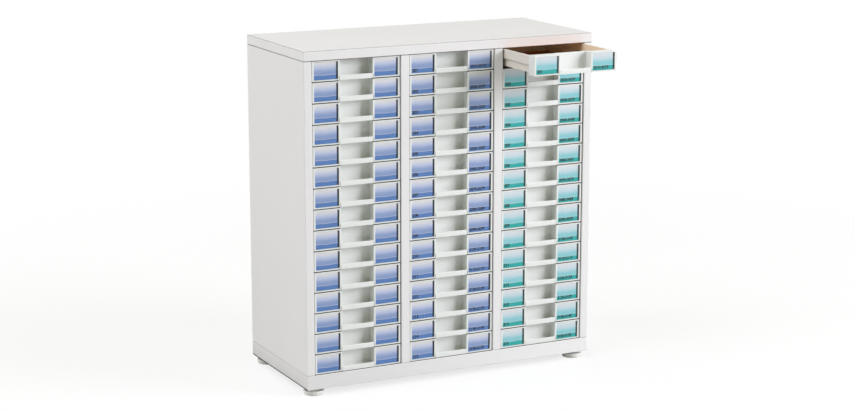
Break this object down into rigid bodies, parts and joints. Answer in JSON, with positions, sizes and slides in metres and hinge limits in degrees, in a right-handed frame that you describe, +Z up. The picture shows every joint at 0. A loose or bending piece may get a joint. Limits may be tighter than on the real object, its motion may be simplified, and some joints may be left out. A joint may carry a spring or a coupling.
{
  "type": "multi-drawer filing cabinet",
  "caption": "Free-standing white cabinet with columns of shallow A4 drawers on moulded runners, each with a finger grip and two label pockets, on round levelling feet.",
  "frame": {"origin": "on the floor, in the middle of the rectangle that the cabinet and its pulled-out drawer cover", "axes": "+X to the right seen from the front, drawers open towards -Y, +Z up"},
  "size_m": [0.83, 0.537, 0.891],
  "materials": {
    "white_board": "white melamine faced board, satin",
    "back_panel": "white faced thin board, matt",
    "runner_plastic": "moulded, matt beige grey",
    "drawer_plastic": "moulded, white, soft gloss",
    "foot_plastic": "moulded, off white",
    "label_card": "printed card",
    "label_cover": "clear moulded plastic",
    "drawer_bottom": "brown hardboard"
  },
  "bodies": {
    "cabinet": {"top_board": "white_board", "base_board": "white_board", "left_side": "white_board", "right_side": "white_board", "left_divider": "white_board", "centre_divider": "white_board", "back_panel": "back_panel", "left_runner_cage": "runner_plastic", "centre_runner_cage": "runner_plastic", "right_runner_cage": "runner_plastic"},
    "drawer_left_01": {"drawer_left_01": "drawer_plastic"},
    "drawer_left_02": {"drawer_left_02": "drawer_plastic"},
    "drawer_left_03": {"drawer_left_03": "drawer_plastic"},
    "drawer_left_04": {"drawer_left_04": "drawer_plastic"},
    "drawer_left_05": {"drawer_left_05": "drawer_plastic"},
    "drawer_left_06": {"drawer_left_06": "drawer_plastic"},
    "drawer_left_07": {"drawer_left_07": "drawer_plastic"},
    "drawer_left_08": {"drawer_left_08": "drawer_plastic"},
    "drawer_left_09": {"drawer_left_09": "drawer_plastic"},
    "drawer_left_10": {"drawer_left_10": "drawer_plastic"},
    "drawer_left_11": {"drawer_left_11": "drawer_plastic"},
    "drawer_left_12": {"drawer_left_12": "drawer_plastic"},
    "drawer_left_13": {"drawer_left_13": "drawer_plastic"},
    "drawer_left_14": {"drawer_left_14": "drawer_plastic"},
    "drawer_left_15": {"drawer_left_15": "drawer_plastic"},
    "drawer_centre_01": {"drawer_centre_01": "drawer_plastic"},
    "drawer_centre_02": {"drawer_centre_02": "drawer_plastic"},
    "drawer_centre_03": {"drawer_centre_03": "drawer_plastic"},
    "drawer_centre_04": {"drawer_centre_04": "drawer_plastic"},
    "drawer_centre_05": {"drawer_centre_05": "drawer_plastic"},
    "drawer_centre_06": {"drawer_centre_06": "drawer_plastic"},
    "drawer_centre_07": {"drawer_centre_07": "drawer_plastic"},
    "drawer_centre_08": {"drawer_centre_08": "drawer_plastic"},
    "drawer_centre_09": {"drawer_centre_09": "drawer_plastic"},
    "drawer_centre_10": {"drawer_centre_10": "drawer_plastic"},
    "drawer_centre_11": {"drawer_centre_11": "drawer_plastic"},
    "drawer_centre_12": {"drawer_centre_12": "drawer_plastic"},
    "drawer_centre_13": {"drawer_centre_13": "drawer_plastic"},
    "drawer_centre_14": {"drawer_centre_14": "drawer_plastic"},
    "drawer_centre_15": {"drawer_centre_15": "drawer_plastic"},
    "drawer_right_01": {"drawer_right_01": "drawer_plastic"},
    "drawer_right_02": {"drawer_right_02": "drawer_plastic"},
    "drawer_right_03": {"drawer_right_03": "drawer_plastic"},
    "drawer_right_04": {"drawer_right_04": "drawer_plastic"},
    "drawer_right_05": {"drawer_right_05": "drawer_plastic"},
    "drawer_right_06": {"drawer_right_06": "drawer_plastic"},
    "drawer_right_07": {"drawer_right_07": "drawer_plastic"},
    "drawer_right_08": {"drawer_right_08": "drawer_plastic"},
    "drawer_right_09": {"drawer_right_09": "drawer_plastic"},
    "drawer_right_10": {"drawer_right_10": "drawer_plastic"},
    "drawer_right_11": {"drawer_right_11": "drawer_plastic"},
    "drawer_right_12": {"drawer_right_12": "drawer_plastic"},
    "drawer_right_13": {"drawer_right_13": "drawer_plastic"},
    "drawer_right_14": {"drawer_right_14": "drawer_plastic"},
    "drawer_right_15": {"drawer_right_15": "drawer_plastic"},
    "front_left_foot": {"front_left_foot": "foot_plastic"},
    "front_right_foot": {"front_right_foot": "foot_plastic"},
    "rear_left_foot": {"rear_left_foot": "foot_plastic"},
    "rear_right_foot": {"rear_right_foot": "foot_plastic"}
  },
  "joints": [
    {"name": "drawer_left_01_slide", "type": "slide", "parent": "cabinet", "child": "drawer_left_01", "axis": [0, -1, 0], "range_m": [0, 0.25]},
    {"name": "drawer_left_02_slide", "type": "slide", "parent": "cabinet", "child": "drawer_left_02", "axis": [0, -1, 0], "range_m": [0, 0.25]},
    {"name": "drawer_left_03_slide", "type": "slide", "parent": "cabinet", "child": "drawer_left_03", "axis": [0, -1, 0], "range_m": [0, 0.25]},
    {"name": "drawer_left_04_slide", "type": "slide", "parent": "cabinet", "child": "drawer_left_04", "axis": [0, -1, 0], "range_m": [0, 0.25]},
    {"name": "drawer_left_05_slide", "type": "slide", "parent": "cabinet", "child": "drawer_left_05", "axis": [0, -1, 0], "range_m": [0, 0.25]},
    {"name": "drawer_left_06_slide", "type": "slide", "parent": "cabinet", "child": "drawer_left_06", "axis": [0, -1, 0], "range_m": [0, 0.25]},
    {"name": "drawer_left_07_slide", "type": "slide", "parent": "cabinet", "child": "drawer_left_07", "axis": [0, -1, 0], "range_m": [0, 0.25]},
    {"name": "drawer_left_08_slide", "type": "slide", "parent": "cabinet", "child": "drawer_left_08", "axis": [0, -1, 0], "range_m": [0, 0.25]},
    {"name": "drawer_left_09_slide", "type": "slide", "parent": "cabinet", "child": "drawer_left_09", "axis": [0, -1, 0], "range_m": [0, 0.25]},
    {"name": "drawer_left_10_slide", "type": "slide", "parent": "cabinet", "child": "drawer_left_10", "axis": [0, -1, 0], "range_m": [0, 0.25]},
    {"name": "drawer_left_11_slide", "type": "slide", "parent": "cabinet", "child": "drawer_left_11", "axis": [0, -1, 0], "range_m": [0, 0.25]},
    {"name": "drawer_left_12_slide", "type": "slide", "parent": "cabinet", "child": "drawer_left_12", "axis": [0, -1, 0], "range_m": [0, 0.25]},
    {"name": "drawer_left_13_slide", "type": "slide", "parent": "cabinet", "child": "drawer_left_13", "axis": [0, -1, 0], "range_m": [0, 0.25]},
    {"name": "drawer_left_14_slide", "type": "slide", "parent": "cabinet", "child": "drawer_left_14", "axis": [0, -1, 0], "range_m": [0, 0.25]},
    {"name": "drawer_left_15_slide", "type": "slide", "parent": "cabinet", "child": "drawer_left_15", "axis": [0, -1, 0], "range_m": [0, 0.25]},
    {"name": "drawer_centre_01_slide", "type": "slide", "parent": "cabinet", "child": "drawer_centre_01", "axis": [0, -1, 0], "range_m": [0, 0.25]},
    {"name": "drawer_centre_02_slide", "type": "slide", "parent": "cabinet", "child": "drawer_centre_02", "axis": [0, -1, 0], "range_m": [0, 0.25]},
    {"name": "drawer_centre_03_slide", "type": "slide", "parent": "cabinet", "child": "drawer_centre_03", "axis": [0, -1, 0], "range_m": [0, 0.25]},
    {"name": "drawer_centre_04_slide", "type": "slide", "parent": "cabinet", "child": "drawer_centre_04", "axis": [0, -1, 0], "range_m": [0, 0.25]},
    {"name": "drawer_centre_05_slide", "type": "slide", "parent": "cabinet", "child": "drawer_centre_05", "axis": [0, -1, 0], "range_m": [0, 0.25]},
    {"name": "drawer_centre_06_slide", "type": "slide", "parent": "cabinet", "child": "drawer_centre_06", "axis": [0, -1, 0], "range_m": [0, 0.25]},
    {"name": "drawer_centre_07_slide", "type": "slide", "parent": "cabinet", "child": "drawer_centre_07", "axis": [0, -1, 0], "range_m": [0, 0.25]},
    {"name": "drawer_centre_08_slide", "type": "slide", "parent": "cabinet", "child": "drawer_centre_08", "axis": [0, -1, 0], "range_m": [0, 0.25]},
    {"name": "drawer_centre_09_slide", "type": "slide", "parent": "cabinet", "child": "drawer_centre_09", "axis": [0, -1, 0], "range_m": [0, 0.25]},
    {"name": "drawer_centre_10_slide", "type": "slide", "parent": "cabinet", "child": "drawer_centre_10", "axis": [0, -1, 0], "range_m": [0, 0.25]},
    {"name": "drawer_centre_11_slide", "type": "slide", "parent": "cabinet", "child": "drawer_centre_11", "axis": [0, -1, 0], "range_m": [0, 0.25]},
    {"name": "drawer_centre_12_slide", "type": "slide", "parent": "cabinet", "child": "drawer_centre_12", "axis": [0, -1, 0], "range_m": [0, 0.25]},
    {"name": "drawer_centre_13_slide", "type": "slide", "parent": "cabinet", "child": "drawer_centre_13", "axis": [0, -1, 0], "range_m": [0, 0.25]},
    {"name": "drawer_centre_14_slide", "type": "slide", "parent": "cabinet", "child": "drawer_centre_14", "axis": [0, -1, 0], "range_m": [0, 0.25]},
    {"name": "drawer_centre_15_slide", "type": "slide", "parent": "cabinet", "child": "drawer_centre_15", "axis": [0, -1, 0], "range_m": [0, 0.25]},
    {"name": "drawer_right_01_slide", "type": "slide", "parent": "cabinet", "child": "drawer_right_01", "axis": [0, -1, 0], "range_m": [-0.165, 0.085]},
    {"name": "drawer_right_02_slide", "type": "slide", "parent": "cabinet", "child": "drawer_right_02", "axis": [0, -1, 0], "range_m": [0, 0.25]},
    {"name": "drawer_right_03_slide", "type": "slide", "parent": "cabinet", "child": "drawer_right_03", "axis": [0, -1, 0], "range_m": [0, 0.25]},
    {"name": "drawer_right_04_slide", "type": "slide", "parent": "cabinet", "child": "drawer_right_04", "axis": [0, -1, 0], "range_m": [0, 0.25]},
    {"name": "drawer_right_05_slide", "type": "slide", "parent": "cabinet", "child": "drawer_right_05", "axis": [0, -1, 0], "range_m": [0, 0.25]},
    {"name": "drawer_right_06_slide", "type": "slide", "parent": "cabinet", "child": "drawer_right_06", "axis": [0, -1, 0], "range_m": [0, 0.25]},
    {"name": "drawer_right_07_slide", "type": "slide", "parent": "cabinet", "child": "drawer_right_07", "axis": [0, -1, 0], "range_m": [0, 0.25]},
    {"name": "drawer_right_08_slide", "type": "slide", "parent": "cabinet", "child": "drawer_right_08", "axis": [0, -1, 0], "range_m": [0, 0.25]},
    {"name": "drawer_right_09_slide", "type": "slide", "parent": "cabinet", "child": "drawer_right_09", "axis": [0, -1, 0], "range_m": [0, 0.25]},
    {"name": "drawer_right_10_slide", "type": "slide", "parent": "cabinet", "child": "drawer_right_10", "axis": [0, -1, 0], "range_m": [0, 0.25]},
    {"name": "drawer_right_11_slide", "type": "slide", "parent": "cabinet", "child": "drawer_right_11", "axis": [0, -1, 0], "range_m": [0, 0.25]},
    {"name": "drawer_right_12_slide", "type": "slide", "parent": "cabinet", "child": "drawer_right_12", "axis": [0, -1, 0], "range_m": [0, 0.25]},
    {"name": "drawer_right_13_slide", "type": "slide", "parent": "cabinet", "child": "drawer_right_13", "axis": [0, -1, 0], "range_m": [0, 0.25]},
    {"name": "drawer_right_14_slide", "type": "slide", "parent": "cabinet", "child": "drawer_right_14", "axis": [0, -1, 0], "range_m": [0, 0.25]},
    {"name": "drawer_right_15_slide", "type": "slide", "parent": "cabinet", "child": "drawer_right_15", "axis": [0, -1, 0], "range_m": [0, 0.25]},
    {"name": "front_left_foot_level", "type": "slide", "parent": "cabinet", "child": "front_left_foot", "axis": [0, 0, -1], "range_m": [0, 0.012]},
    {"name": "front_right_foot_level", "type": "slide", "parent": "cabinet", "child": "front_right_foot", "axis": [0, 0, -1], "range_m": [0, 0.012]},
    {"name": "rear_left_foot_level", "type": "slide", "parent": "cabinet", "child": "rear_left_foot", "axis": [0, 0, -1], "range_m": [0, 0.012]},
    {"name": "rear_right_foot_level", "type": "slide", "parent": "cabinet", "child": "rear_right_foot", "axis": [0, 0, -1], "range_m": [0, 0.012]}
  ]
}
